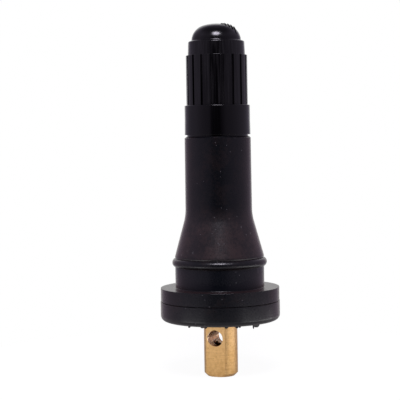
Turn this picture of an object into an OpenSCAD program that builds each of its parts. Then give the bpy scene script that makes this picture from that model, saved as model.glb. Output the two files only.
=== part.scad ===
// Rubber snap-in tyre valve for a tyre-pressure sensor, with its ribbed sealing cap and its valve core.
// Millimetres. Z runs up the valve's axis towards the cap, and the foot's flats face -Y and +Y.
// Z = 0 is the flange's upper face, which seats on the rim.

/* [Rubber flange] */
// Diameter of the flange
flange_d = 19; // [17:0.1:24]
// Thickness of the flange
flange_h = 5.25; // [4.5:0.05:7]
// Depth of the mould's parting line below the flange's upper face
parting_depth = 2.15; // [1:0.05:3]
// How far the upper mould half's side lies inside the lower one's
parting_step = 0.06; // [0.02:0.01:0.2]
// Rounding of the flange's lower edge
flange_low_round = 0.9; // [0.2:0.05:1.5]
// Rounding of the flange's upper edge
flange_top_round = 0.15; // [0.1:0.05:0.6]

/* [Rubber rim groove] */
// Diameter of the neck that fills the rim's hole
neck_d = 14.14; // [12:0.02:15]
// Rounding where the neck meets the flange
neck_fillet = 0.15; // [0.1:0.05:0.8]
// Diameter over the snap bead
bead_d = 15.06; // [14:0.02:16.5]
// Height of the snap bead's middle above the flange
bead_z = 4; // [3:0.05:6]
// Rounding of the snap bead
bead_round = 0.73; // [0.5:0.01:0.9]

/* [Rubber shank] */
// Diameter of the taper's lower end, just above the bead
taper_d = 14.18; // [12:0.02:15]
// Height of the taper's lower end above the bead's middle
taper_rise = 0.95; // [0.5:0.05:1.5]
// Height of the taper, up to where its line meets the shank
taper_h = 6.5; // [5:0.1:9]
// Radius of the blend between taper and shank
taper_blend = 7; // [3:0.5:9]
// Diameter of the shank at the taper
shank_d = 10.58; // [9.6:0.02:11.6]
// Diameter of the shank at its upper end
shank_top_d = 10.48; // [9.6:0.02:11.6]
// Height of the shank's upper end above the flange
shank_top_z = 23.95; // [18:0.05:30]
// Rounding of the shank's upper edge
shank_top_round = 0.38; // [0.1:0.02:0.5]

/* [Brass stem] */
// Outside diameter of the cap thread
cap_thread_d = 7.75; // [7.5:0.05:8]
// Pitch of the cap thread
cap_thread_pitch = 0.794; // [0.7:0.002:1]
// Length of the stem that stands out of the rubber
mouth_out = 11.55; // [10.5:0.05:14]
// Chamfer around the stem's mouth
mouth_chamfer = 0.45; // [0.2:0.05:0.6]
// Length of the cap thread that runs down inside the rubber
thread_runout = 1.2; // [0.5:0.1:2]
// Diameter of the stem inside the rubber
stem_d = 6.4; // [6:0.05:6.7]
// Diameter of the collar that holds the stem in the flange
collar_d = 8.4; // [7:0.1:10]
// Thickness of that collar
collar_h = 1.2; // [0.8:0.1:1.6]
// Depth of the collar's upper face below the flange's upper face
collar_depth = 1.8; // [1:0.1:2.4]

/* [Brass foot] */
// Diameter of the foot
foot_d = 5.36; // [5:0.02:6]
// Length of the foot below the flange
foot_len = 8.9; // [8:0.05:12]
// Distance across the foot's two flats
foot_flats = 4.22; // [3.8:0.02:4.8]
// Chamfer of the foot's end
foot_chamfer = 0.5; // [0.3:0.02:0.8]
// Tapping diameter of the cross hole
screw_hole_d = 2.5; // [2:0.05:2.6]
// Height of the cross hole above the foot's end
screw_hole_rise = 6.1; // [5:0.05:6.5]
// Diameter of the air bore along the stem
air_bore_d = 2.2; // [1.8:0.05:2.4]

/* [Valve core] */
// Pitch diameter of the core's thread
core_thread_d = 4.78; // [4.6:0.01:4.9]
// Depth of the plug's top below the stem's mouth
plug_sunk = 0.9; // [0.5:0.05:1.2]
// Length of the plug's threaded part
plug_thread_len = 3.5; // [2.8:0.05:4]
// Height of the plug's bridge above its thread
bridge_h = 1.5; // [1.2:0.05:2]
// Diameter of the plug's bridge
bridge_d = 3.5; // [3:0.05:4]
// Width of the plug's bridge across its two flats
bridge_w = 1.9; // [1.7:0.05:2.2]
// Thickness of the bridge's roof
bridge_roof = 0.7; // [0.5:0.05:0.9]
// Diameter of the air way through the plug
plug_bore_d = 2.3; // [2.25:0.01:2.4]
// Diameter of the barrel's swivel neck
swivel_d = 3.1; // [3:0.05:3.3]
// Height of the barrel's swivel neck
swivel_h = 1; // [0.7:0.05:1.4]
// Diameter of the barrel above its seal
barrel_head_d = 4.2; // [4.1:0.02:4.4]
// Height of the barrel above its seal
barrel_head_h = 1.2; // [1:0.05:1.6]
// Diameter of the barrel below its head
barrel_d = 3.6; // [3.4:0.02:3.7]
// Length of the barrel below its head
barrel_len = 6.6; // [6.2:0.05:8]
// Diameter of the spring's room in the barrel
spring_room_d = 2.5; // [2.46:0.02:2.6]
// Thickness of the barrel's floor
barrel_floor = 0.7; // [0.5:0.05:1]
// Diameter of the air way through the barrel's floor
barrel_port_d = 1.6; // [1.4:0.02:1.66]
// Height of the barrel's seal
barrel_seal_h = 1.4; // [1:0.05:1.6]
// Height of the stem's seat cone
seat_cone_h = 1.6; // [1.4:0.05:2]
// Diameter of the stem's bore below the seat cone
lower_bore_d = 4.1; // [4:0.02:4.3]

/* [Core pin] */
// Diameter of the pin
pin_d = 1; // [0.9:0.02:1.1]
// Depth of the pin's top below the stem's mouth
pin_sunk = 0.35; // [0.2:0.05:0.6]
// Travel of the pin
pin_travel = 1.2; // [0.8:0.05:1.4]
// Diameter of the pin's spring collar
pin_collar_d = 2.4; // [2.2:0.02:2.44]
// Width of the spring collar across its two flats
pin_collar_w = 1.6; // [1.4:0.05:1.8]
// Thickness of the spring collar
pin_collar_h = 0.6; // [0.4:0.05:0.8]
// Diameter of the seat cup
cup_d = 3.3; // [3.2:0.02:3.4]
// Height of the seat cup
cup_h = 0.9; // [0.8:0.05:1.2]
// Wall of the seat cup
cup_wall = 0.25; // [0.2:0.01:0.3]
// Thickness of the seat seal
seat_seal_h = 0.75; // [0.6:0.05:0.9]
// How far the seat seal stands out of its cup
seat_seal_proud = 0.2; // [0.1:0.05:0.3]
// Diameter of the pin's riveted end
rivet_d = 1.6; // [1.3:0.05:2]
// Thickness of the pin's riveted end
rivet_h = 0.4; // [0.3:0.05:0.5]
// Length of the fitted spring
spring_len = 4.6; // [4.2:0.05:4.8]
// Mean diameter of the spring
spring_d = 2; // [1.96:0.01:2.1]
// Diameter of the spring's wire
spring_wire_d = 0.26; // [0.2:0.01:0.28]
// Turns of the spring
spring_turns = 7; // [5:0.5:9]

/* [Cap] */
// Height of the cap's skirt
skirt_h = 4.9; // [4:0.05:6]
// Diameter of the cap's skirt
skirt_d = 10.34; // [10.1:0.02:11.5]
// How far the skirt's foot flares out
skirt_flare = 0.04; // [0.02:0.01:0.1]
// Rounding of the skirt's edges
skirt_round = 0.1; // [0.1:0.01:0.3]
// Diameter over the ribs
ribs_d = 9.7; // [9.5:0.02:10]
// Number of grooves between the ribs
groove_count = 18; // [12:1:24]
// Width of a groove
groove_w = 0.42; // [0.3:0.02:0.6]
// Turn of the first groove from +X, in degrees, with the cap screwed home
groove_turn = 5; // [0:1:20]
// Diameter of the smooth band at its foot, which is also the grooves' floor
band_d = 9.04; // [8.9:0.02:9.2]
// Diameter of the smooth band at its top
band_top_d = 8.86; // [8.8:0.02:9.1]
// Height of the smooth band
band_h = 2.25; // [1.8:0.05:3]
// Rounding of the band's upper edge
band_round = 0.42; // [0.2:0.02:0.45]
// Diameter of the dome
dome_d = 7.84; // [7.2:0.02:8]
// Height of the dome
dome_h = 2.75; // [2:0.05:3.2]
// Radius of the dome's side, as a share of the dome's height
dome_side_share = 0.93; // [0.7:0.01:0.95]
// Room between the stem's thread and the cap's bore
cap_thread_gap = 0.055; // [0.03:0.005:0.1]
// Depth of the plain mouth below the cap's thread
cap_mouth_depth = 5.5; // [5:0.05:6]
// Diameter of that plain mouth
cap_mouth_d = 8.3; // [8.1:0.05:8.5]
// Thickness of the cap's seal
cap_seal_h = 1.2; // [1:0.05:1.6]
// Hole through the cap's seal
cap_seal_hole_d = 3.2; // [2.6:0.05:3.6]
// Diameter of the hollow in the cap's head
head_hollow_d = 4.8; // [4:0.05:5.2]
// Thickness of the dome over that hollow
dome_wall = 1.6; // [1.2:0.05:2.2]

/* [Fits] */
// Room around pieces that sit still in one another
still_gap = 0.02; // [0.01:0.005:0.05]
// Room around the pin where the plug guides it
guide_gap = 0.05; // [0.02:0.01:0.1]
// Room around the cap's seal in its bore
seal_gap = 0.05; // [0.02:0.01:0.1]

/* [Hidden] */
$fn = 96;

// Depth of an outside thread, as a share of its pitch
thread_depth_share = 0.6134;
// Small overlap that makes a cut go clean through
cut = 1;

// Heights along the stem
foot_z = -flange_h - foot_len;
screw_hole_z = foot_z + screw_hole_rise;
collar_z = -collar_depth - collar_h;
mouth_z = shank_top_z + mouth_out;
thread_foot_z = shank_top_z - thread_runout;
thread_root_r = cap_thread_d / 2 - thread_depth_share * cap_thread_pitch;

// Heights along the core, from the stem's mouth down
plug_top_z = mouth_z - plug_sunk;
plug_thread_z = plug_top_z - bridge_h;
plug_low_z = plug_thread_z - plug_thread_len;
barrel_shoulder_z = plug_low_z - barrel_head_h;
barrel_low_z = barrel_shoulder_z - barrel_len;
spring_low_z = barrel_low_z + barrel_floor;
pin_collar_z = spring_low_z + spring_len;
cup_top_z = barrel_low_z - seat_seal_proud;
cup_low_z = cup_top_z - cup_h;
pin_low_z = cup_low_z - rivet_h;
pin_top_z = mouth_z - pin_sunk;
cone_top_z = barrel_shoulder_z + still_gap;
cone_low_z = cone_top_z - seat_cone_h;
lower_bore_z = pin_low_z - pin_travel - rivet_h;
bore_step = (lower_bore_d - air_bore_d) / 2;

// Heights along the cap: its bore ends, and its smooth band starts, at the upper face of its seal
cap_low_z = shank_top_z;
skirt_top_z = cap_low_z + skirt_h;
ribs_top_z = mouth_z + cap_seal_h;
band_top_z = ribs_top_z + band_h;
dome_top_z = band_top_z + dome_h;
cap_bore_r = cap_thread_d / 2 + cap_thread_gap;
ribs_h = ribs_top_z - skirt_top_z;

// Radius of the dome's side, and of its flatter top, which runs into the side
dome_side_round = dome_side_share * dome_h;
dome_top_round = (pow(dome_d / 2 - dome_side_round, 2) + pow(dome_h, 2) - pow(dome_side_round, 2))
                 / (2 * (dome_h - dome_side_round));

// Slope of the rubber's taper, and how far its blend runs from the corner
taper_z = bead_z + taper_rise;
taper_top_z = taper_z + taper_h;
taper_angle = atan((taper_d - shank_d) / 2 / taper_h);
blend_run = taper_blend * tan(taper_angle / 2);

// A rectangle from the axis out to radius r, with its lower and upper outer corners rounded
module disc_section(r, z_low, z_high, low_round, high_round) {
    translate([0, z_low]) square([r - low_round, z_high - high_round - z_low]);
    translate([0, z_low + low_round]) square([r - high_round, z_high - z_low - low_round]);
    translate([0, z_low + low_round]) square([r, z_high - z_low - low_round - high_round]);
    translate([r - low_round, z_low + low_round]) circle(low_round);
    translate([r - high_round, z_high - high_round]) circle(high_round);
}

// A plain tube or rod about the axis
module rod(r, z_low, z_high) {
    translate([0, 0, z_low]) cylinder(r = r, h = z_high - z_low);
}

// Half section of the rubber's outside
module rubber_section() {
    disc_section(flange_d / 2, -flange_h, -parting_depth, flange_low_round, parting_step);
    disc_section(flange_d / 2 - parting_step, -parting_depth - parting_step, 0,
                 parting_step, flange_top_round);
    neck_section();
    translate([bead_d / 2 - bead_round, bead_z]) circle(bead_round);
    taper_section();
    shank_section();
}

// The neck with its fillet on the flange
module neck_section() {
    translate([0, -parting_depth]) square([neck_d / 2, bead_z + parting_depth]);
    difference() {
        translate([0, -neck_fillet]) square([neck_d / 2 + neck_fillet, 2 * neck_fillet]);
        translate([neck_d / 2 + neck_fillet, neck_fillet]) circle(neck_fillet);
    }
}

// The taper above the bead, with its hollow blend into the shank
module taper_section() {
    polygon([
        [0, bead_z],
        [bead_d / 2 - bead_round, bead_z],
        [taper_d / 2, taper_z],
        [shank_d / 2, taper_top_z],
        [0, taper_top_z],
    ]);
    difference() {
        polygon([
            [0, taper_top_z],
            [shank_d / 2 + blend_run * sin(taper_angle), taper_top_z - blend_run * cos(taper_angle)],
            [shank_d / 2, taper_top_z + blend_run],
            [0, taper_top_z + blend_run],
        ]);
        translate([shank_d / 2 + taper_blend, taper_top_z + blend_run]) circle(taper_blend, $fn = 360);
    }
}

// The shank, slightly slimmer towards the cap, with a rounded upper edge
module shank_section() {
    round_r = shank_top_d / 2 - shank_top_round;
    round_z = shank_top_z - shank_top_round;
    polygon([
        [0, taper_top_z + blend_run],
        [shank_d / 2, taper_top_z + blend_run],
        [shank_top_d / 2, round_z],
        [0, round_z],
    ]);
    translate([round_r, round_z]) circle(shank_top_round);
    translate([0, round_z]) square([round_r, shank_top_round]);
}

// The stem's outside inside the rubber and above it
module stem_solid() {
    rod(foot_d / 2, foot_z + foot_chamfer, collar_z);
    translate([0, 0, foot_z])
        cylinder(r1 = foot_d / 2 - foot_chamfer, r2 = foot_d / 2, h = foot_chamfer);
    rod(collar_d / 2, collar_z, -collar_depth);
    rod(stem_d / 2, -collar_depth, thread_foot_z);
    rod(thread_root_r, thread_foot_z, mouth_z - mouth_chamfer);
    translate([0, 0, mouth_z - mouth_chamfer])
        cylinder(r1 = thread_root_r, r2 = thread_root_r - mouth_chamfer, h = mouth_chamfer);
}

// The core's room and the air bore, as one cut along the stem
module stem_bore() {
    rod(core_thread_d / 2, cone_top_z, mouth_z + cut);
    translate([0, 0, cone_low_z])
        cylinder(r1 = lower_bore_d / 2, r2 = core_thread_d / 2, h = seat_cone_h);
    rod(lower_bore_d / 2, lower_bore_z, cone_low_z);
    translate([0, 0, lower_bore_z - bore_step])
        cylinder(r1 = air_bore_d / 2, r2 = lower_bore_d / 2, h = bore_step);
    rod(air_bore_d / 2, foot_z - cut, lower_bore_z - bore_step);
}

// The metal that is milled off one side of the foot for its flat
module flat_cut() {
    translate([-foot_d, foot_flats / 2, foot_z - cut])
        cube([2 * foot_d, foot_d, foot_len + cut]);
}

module brass_stem() {
    color([0.80, 0.62, 0.36])
    difference() {
        stem_solid();
        stem_bore();
        flat_cut();
        mirror([0, 1, 0]) flat_cut();
        translate([0, 0, screw_hole_z]) rotate([90, 0, 0])
            cylinder(r = screw_hole_d / 2, h = 2 * foot_d, center = true);
    }
}

module rubber_body() {
    color([0.11, 0.10, 0.11])
    difference() {
        rotate_extrude() rubber_section();
        rod(foot_d / 2, -flange_h - cut, collar_z);
        rod(collar_d / 2, collar_z, -collar_depth);
        rod(stem_d / 2, -collar_depth, thread_foot_z);
        rod(thread_root_r, thread_foot_z, shank_top_z + cut);
    }
}

// Half section of the cap's outside
module cap_section() {
    skirt_section();
    disc_section(ribs_d / 2, skirt_top_z - skirt_round, ribs_top_z, skirt_round, skirt_round);
    band_section();
    dome_section();
}

// The skirt, which flares a little towards its foot
module skirt_section() {
    lip_r = skirt_d / 2 + skirt_flare;
    low_z = cap_low_z + skirt_round;
    high_z = skirt_top_z - skirt_round;
    polygon([
        [0, cap_low_z],
        [lip_r - skirt_round, cap_low_z],
        [lip_r - skirt_round, low_z],
        [lip_r, low_z],
        [skirt_d / 2, cap_low_z + skirt_h / 2],
        [skirt_d / 2, high_z],
        [skirt_d / 2 - skirt_round, high_z],
        [skirt_d / 2 - skirt_round, skirt_top_z],
        [0, skirt_top_z],
    ]);
    translate([lip_r - skirt_round, low_z]) circle(skirt_round);
    translate([skirt_d / 2 - skirt_round, high_z]) circle(skirt_round);
}

// The smooth band between the ribs and the dome
module band_section() {
    polygon([
        [0, ribs_top_z],
        [band_d / 2, ribs_top_z],
        [band_top_d / 2, band_top_z - band_round],
        [0, band_top_z - band_round],
    ]);
    translate([band_top_d / 2 - band_round, band_top_z - band_round]) circle(band_round);
    translate([0, ribs_top_z]) square([band_top_d / 2 - band_round, band_h]);
}

// The dome: a round side that runs into a flatter top
module dome_section() {
    side_r = dome_d / 2 - dome_side_round;
    top_centre_z = dome_top_z - dome_top_round;
    slant = dome_top_round / (dome_top_round - dome_side_round);
    touch = [side_r * slant, top_centre_z + (band_top_z - top_centre_z) * slant];
    translate([side_r, band_top_z]) intersection() {
        circle(dome_side_round);
        square(dome_side_round);
    }
    intersection() {
        translate([0, top_centre_z]) circle(dome_top_round, $fn = 360);
        polygon([
            [0, band_top_z],
            [side_r, band_top_z],
            touch,
            [touch[0], dome_top_z + cut],
            [0, dome_top_z + cut],
        ]);
    }
}

module cap_grooves() {
    for (k = [0 : groove_count - 1])
        rotate(groove_turn + k * 360 / groove_count)
            translate([band_d / 2, -groove_w / 2, skirt_top_z])
                cube([ribs_d, groove_w, ribs_h]);
}

module cap() {
    color([0.10, 0.10, 0.11])
    difference() {
        rotate_extrude() cap_section();
        cap_grooves();
        rod(cap_mouth_d / 2, cap_low_z - cut, cap_low_z + cap_mouth_depth);
        rod(cap_bore_r, cap_low_z, ribs_top_z);
        rod(head_hollow_d / 2, ribs_top_z - cap_seal_h, dome_top_z - dome_wall);
    }
}

module cap_seal() {
    color([0.20, 0.20, 0.20])
    difference() {
        rod(cap_bore_r - seal_gap, mouth_z, ribs_top_z);
        rod(cap_seal_hole_d / 2, mouth_z - cut, ribs_top_z + cut);
    }
}

module core_plug() {
    color([0.84, 0.68, 0.40])
    difference() {
        union() {
            rod(core_thread_d / 2 - still_gap, plug_low_z, plug_thread_z);
            intersection() {
                rod(bridge_d / 2, plug_thread_z, plug_top_z);
                translate([-bridge_d, -bridge_w / 2, plug_thread_z])
                    cube([2 * bridge_d, bridge_w, bridge_h]);
            }
        }
        rod(plug_bore_d / 2, plug_low_z, plug_top_z - bridge_roof);
        rod(swivel_d / 2 + still_gap, plug_low_z - cut, plug_low_z + swivel_h + still_gap);
        rod(pin_d / 2 + guide_gap, plug_low_z, plug_top_z + cut);
    }
}

module core_barrel() {
    color([0.86, 0.70, 0.42])
    difference() {
        union() {
            rod(swivel_d / 2, plug_low_z, plug_low_z + swivel_h);
            rod(barrel_head_d / 2, barrel_shoulder_z, plug_low_z);
            rod(barrel_d / 2, barrel_low_z, barrel_shoulder_z);
        }
        rod(spring_room_d / 2, spring_low_z, plug_low_z + swivel_h + cut);
        rod(barrel_port_d / 2, barrel_low_z - cut, spring_low_z + cut);
    }
}

// Radius of the stem's seat cone at a height
function cone_r(z) = lower_bore_d / 2 + (core_thread_d - lower_bore_d) / 2 * (z - cone_low_z) / seat_cone_h;

module barrel_seal() {
    seal_low_z = barrel_shoulder_z - barrel_seal_h;
    color([0.75, 0.22, 0.18])
    difference() {
        translate([0, 0, seal_low_z])
            cylinder(r1 = cone_r(seal_low_z) - still_gap, r2 = cone_r(barrel_shoulder_z) - still_gap,
                     h = barrel_seal_h);
        rod(barrel_d / 2 + still_gap, seal_low_z - cut, barrel_shoulder_z + cut);
    }
}

module core_pin() {
    color([0.88, 0.74, 0.48]) {
        rod(pin_d / 2, pin_low_z, pin_top_z);
        rod(rivet_d / 2, pin_low_z, cup_low_z);
        intersection() {
            rod(pin_collar_d / 2, pin_collar_z, pin_collar_z + pin_collar_h);
            translate([-pin_collar_d, -pin_collar_w / 2, pin_collar_z])
                cube([2 * pin_collar_d, pin_collar_w, pin_collar_h]);
        }
    }
}

module seat_cup() {
    color([0.82, 0.66, 0.40])
    difference() {
        rod(cup_d / 2, cup_low_z, cup_top_z);
        rod(cup_d / 2 - cup_wall, barrel_low_z - seat_seal_h, cup_top_z + cut);
        rod(pin_d / 2 + still_gap, cup_low_z - cut, cup_top_z);
    }
}

module seat_seal() {
    color([0.15, 0.15, 0.16])
    difference() {
        rod(cup_d / 2 - cup_wall - still_gap, barrel_low_z - seat_seal_h, barrel_low_z);
        rod(pin_d / 2 + still_gap, barrel_low_z - seat_seal_h - cut, barrel_low_z + cut);
    }
}

// Sides of the spring's wire, and rings along each of its turns
wire_sides = 8;
rings_per_turn = 20;

// A point on the spring's wire: ring number along the helix, and side number around the wire
function wire_point(ring, side, rings) =
    let (turn = 360 * spring_turns * ring / rings)
    let (around = 360 * side / wire_sides)
    let (reach = spring_d / 2 + spring_wire_d / 2 * cos(around))
    let (rise = (spring_len - spring_wire_d) * ring / rings)
    [reach * cos(turn), reach * sin(turn), spring_low_z + spring_wire_d / 2 * (1 + sin(around)) + rise];

module core_spring() {
    rings = round(spring_turns * rings_per_turn);
    points = [for (ring = [0 : rings]) for (side = [0 : wire_sides - 1]) wire_point(ring, side, rings)];
    walls = [
        for (ring = [0 : rings - 1]) for (side = [0 : wire_sides - 1])
            let (next = (side + 1) % wire_sides)
            let (here = ring * wire_sides)
            [here + side, here + wire_sides + side, here + wire_sides + next, here + next]
    ];
    low_end = [for (side = [0 : wire_sides - 1]) side];
    high_end = [for (side = [wire_sides - 1 : -1 : 0]) rings * wire_sides + side];
    color([0.75, 0.76, 0.78])
    polyhedron(points, concat([low_end], walls, [high_end]));
}

cap();
cap_seal();
rubber_body();
brass_stem();
core_plug();
core_barrel();
barrel_seal();
core_pin();
core_spring();
seat_cup();
seat_seal();
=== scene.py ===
# %% [markdown]
# # A rubber snap-in tyre valve
# This lesson dresses a tyre valve: a black rubber body moulded onto a brass stem, a ribbed
# screw cap on top, and a bare brass foot with a tapped cross hole below the flange. The
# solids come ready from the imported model, in metres, with Z up the valve's axis and Z = 0 on
# the flange's upper face. We load them first and keep their box, because nothing that we
# model later may grow past it.

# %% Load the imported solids
import math

import bmesh
import bpy
from mathutils import Matrix, Vector


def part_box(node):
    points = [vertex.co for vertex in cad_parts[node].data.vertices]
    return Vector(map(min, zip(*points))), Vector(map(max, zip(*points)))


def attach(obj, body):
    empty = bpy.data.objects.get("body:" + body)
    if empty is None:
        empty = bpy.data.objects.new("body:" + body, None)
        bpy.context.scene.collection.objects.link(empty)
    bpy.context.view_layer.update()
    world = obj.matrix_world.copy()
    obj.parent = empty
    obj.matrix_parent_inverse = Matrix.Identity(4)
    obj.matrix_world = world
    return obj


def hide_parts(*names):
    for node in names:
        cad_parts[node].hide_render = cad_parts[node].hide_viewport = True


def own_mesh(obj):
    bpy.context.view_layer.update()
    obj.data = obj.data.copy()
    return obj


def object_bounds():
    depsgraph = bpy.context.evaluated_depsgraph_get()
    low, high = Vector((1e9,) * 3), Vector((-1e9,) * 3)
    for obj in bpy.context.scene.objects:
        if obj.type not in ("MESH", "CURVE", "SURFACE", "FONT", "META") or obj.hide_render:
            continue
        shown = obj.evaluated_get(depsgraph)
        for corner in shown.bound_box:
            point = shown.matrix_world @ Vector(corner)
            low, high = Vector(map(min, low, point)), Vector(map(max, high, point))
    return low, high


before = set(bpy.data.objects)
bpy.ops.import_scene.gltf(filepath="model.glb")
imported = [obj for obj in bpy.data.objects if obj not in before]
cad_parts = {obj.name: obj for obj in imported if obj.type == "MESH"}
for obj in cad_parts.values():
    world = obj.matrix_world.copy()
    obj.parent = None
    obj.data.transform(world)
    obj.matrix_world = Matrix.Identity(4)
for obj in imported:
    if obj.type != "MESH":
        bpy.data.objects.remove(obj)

cad_box = [list(corner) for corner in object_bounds()]
print("solids:", sorted(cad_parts))
print("box in mm:", [[round(1000 * value, 2) for value in corner] for corner in cad_box])

# %% [markdown]
# ## Working in millimetres
# The pieces are small, so their sizes read best in millimetres. Each mesh is drawn in
# millimetres and scaled to metres once, when it becomes an object. That leaves the object
# itself at the origin, unturned and unscaled, so patterns on Object coordinates stay put.

# %% Scale and finishing helper
MM = 0.001
SHARP_ANGLE = math.radians(32)
MERGE_DISTANCE = 0.0005


def close_mesh(bm):
    """Merges what touches, turns the faces outwards and marks the sharp edges."""
    bmesh.ops.remove_doubles(bm, verts=bm.verts, dist=MERGE_DISTANCE)
    bmesh.ops.recalc_face_normals(bm, faces=bm.faces)
    for face in bm.faces:
        face.smooth = True
    for edge in bm.edges:
        edge.smooth = len(edge.link_faces) == 2 and edge.calc_face_angle() < SHARP_ANGLE


def even_shading(piece):
    """Lets large faces set the normals, so flat and straight stretches shade evenly."""
    even = piece.modifiers.new("even shading", "WEIGHTED_NORMAL")
    even.keep_sharp = True


def make_piece(name, bm, body, slot, *nodes):
    """Turns a mesh drawn in millimetres into a piece that rides on a body."""
    bmesh.ops.scale(bm, vec=(MM, MM, MM), verts=bm.verts)
    mesh = bpy.data.meshes.new(name)
    bm.to_mesh(mesh)
    bm.free()
    piece = bpy.data.objects.new(name, mesh)
    bpy.context.scene.collection.objects.link(piece)
    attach(piece, body)
    if nodes:
        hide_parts(*nodes)
    print(name, "has", len(mesh.polygons), "faces and stands for", nodes or "no solid")
    return piece


# %% [markdown]
# ## The camera
# The photograph looks at the valve almost level, a little from the right of the foot's flat,
# through a long lens. A camera that is placed by hand rarely hits both ends of a slim
# object, so we set its place from measured angles: how far round the axis it stands, its
# height, how far it looks down, and a small roll, because the picture leans a little.

# %% Camera
CAMERA_AZIMUTH = math.radians(24)
CAMERA_DISTANCE = 203
CAMERA_HEIGHT = 24.16
CAMERA_PITCH = math.radians(2.9)
CAMERA_ROLL = math.radians(-0.93)
AIM_LEFT_OF_AXIS = 2.96
FOCAL_PIXELS = 1279
IMAGE_PIXELS = 400
SENSOR_WIDTH = 36

towards_camera = Vector((math.sin(CAMERA_AZIMUTH), -math.cos(CAMERA_AZIMUTH), 0))
right_of_camera = Vector((math.cos(CAMERA_AZIMUTH), math.sin(CAMERA_AZIMUTH), 0))
camera_place = towards_camera * CAMERA_DISTANCE + Vector((0, 0, CAMERA_HEIGHT))
level_look = -towards_camera * CAMERA_DISTANCE - right_of_camera * AIM_LEFT_OF_AXIS
look = level_look.normalized() * math.cos(CAMERA_PITCH) - Vector((0, 0, math.sin(CAMERA_PITCH)))

camera_data = bpy.data.cameras.new("camera")
camera_data.sensor_width = SENSOR_WIDTH
camera_data.lens = FOCAL_PIXELS / IMAGE_PIXELS * SENSOR_WIDTH
camera_data.clip_start = 0.01
camera_data.clip_end = 10
camera = bpy.data.objects.new("camera", camera_data)
turn = look.to_track_quat("-Z", "Y").to_matrix().to_4x4()
roll = Matrix.Rotation(CAMERA_ROLL, 4, "Z")
camera.matrix_world = Matrix.Translation(camera_place * MM) @ turn @ roll
bpy.context.scene.collection.objects.link(camera)
bpy.context.scene.camera = camera


def photo_pixel(point):
    """Where a point in millimetres lands in the picture, counted from its upper left corner."""
    seen = camera.matrix_world.inverted() @ (Vector(point) * MM)
    across = IMAGE_PIXELS / 2 + FOCAL_PIXELS * seen.x / -seen.z
    down = IMAGE_PIXELS / 2 - FOCAL_PIXELS * seen.y / -seen.z
    return round(across, 1), round(down, 1)


foot_end = Vector((0, 0, cad_box[0][2] / MM))
dome_top = Vector((0, 0, cad_box[1][2] / MM))
rim = right_of_camera * cad_box[1][0] / MM
print("dome's top at", photo_pixel(dome_top), "and foot's end at", photo_pixel(foot_end))
print("flange's rim at", photo_pixel(-rim), photo_pixel(rim))

# %% [markdown]
# ## Drawing a half section
# Nearly every piece of a valve is turned or moulded around one axis. So we draw half of its
# section as a wire, round its corners with a vertex bevel, and spin the wire once around Z.
# A bevel of one vertex cuts both edges at the same distance from the corner, so a true
# radius needs a distance of radius times the tangent of half the turn.

# %% Outline and spin helpers
ROUND_STEPS = 6
SPIN_STEPS = 180


def arc(middle_r, middle_z, radius, start, end, steps):
    """Corners along a circle's arc, with angles in degrees from the outward direction."""
    angles = [math.radians(start + (end - start) * k / steps) for k in range(steps + 1)]
    return [(middle_r + radius * math.cos(a), middle_z + radius * math.sin(a), 0) for a in angles]


def draw_outline(corners, closed):
    """A wire in the XZ plane through (radius, height, rounding) corners, with rounded corners."""
    bm = bmesh.new()
    verts = [bm.verts.new((r, 0, z)) for r, z, rounding in corners]
    for here, after in zip(verts, verts[1:]):
        bm.edges.new((here, after))
    if closed:
        bm.edges.new((verts[-1], verts[0]))
    places = [vert.co.copy() for vert in verts]
    for k, (r, z, rounding) in enumerate(corners):
        if rounding:
            into = places[k] - places[k - 1]
            out = places[(k + 1) % len(places)] - places[k]
            bmesh.ops.bevel(bm, geom=[verts[k]], offset=rounding * math.tan(into.angle(out) / 2),
                            offset_type="OFFSET", segments=ROUND_STEPS, profile=0.5,
                            affect="VERTICES", material=-1)
    return bm


def spin_outline(bm, steps):
    """Spins the wire once around Z into a closed skin."""
    bmesh.ops.spin(bm, geom=bm.verts[:] + bm.edges[:], cent=(0, 0, 0), axis=(0, 0, 1),
                   dvec=(0, 0, 0), angle=math.tau, steps=steps, use_merge=True,
                   use_normal_flip=False, use_duplicate=False)
    close_mesh(bm)


# %% [markdown]
# ## The rubber body
# The real body is rubber, moulded and cured around the brass stem in a mould of two halves.
# The halves meet on the flange's side, where a fine line runs all round. Above the flange a
# plain neck fills the rim's hole, a round bead snaps over the rim, and a taper runs into the
# slimmer shank. The section repeats the solid's sizes, with the fine parting line added as a
# real groove, because it shows as a dark line in any light, and with a chamfer at the top.

# %% Rubber body
FLANGE_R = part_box("rubber_body")[1].x / MM
FLANGE_LOW_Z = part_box("rubber_body")[0].z / MM
SHANK_TOP_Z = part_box("rubber_body")[1].z / MM
FOOT_R = 2.68
NECK_R = 7.07
BEAD_R = 6.8
BEAD_Z = 4
BEAD_ROUND = 0.73
BEAD_LOW_ANGLE = -68
BEAD_HIGH_ANGLE = 73
BEAD_STEPS = 16
PARTING_Z = -2.15
PARTING_IN = 0.06
PARTING_DEEP = 0.16
PARTING_TALL = 0.07
TAPER_R = 7.09
TAPER_Z = 4.95
TAPER_BLEND = 7
SHANK_R = 5.29
SHANK_Z = 11.45
SHANK_TOP_R = 5.24
SHANK_LIP_R = 4.95
SHANK_LIP_DROP = 0.26
STEM_R = 3.2
COLLAR_R = 4.2
COLLAR_TOP_Z = -1.8
COLLAR_LOW_Z = -3
THREAD_ROOT_R = 3.388
THREAD_SUNK = 1.2

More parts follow.
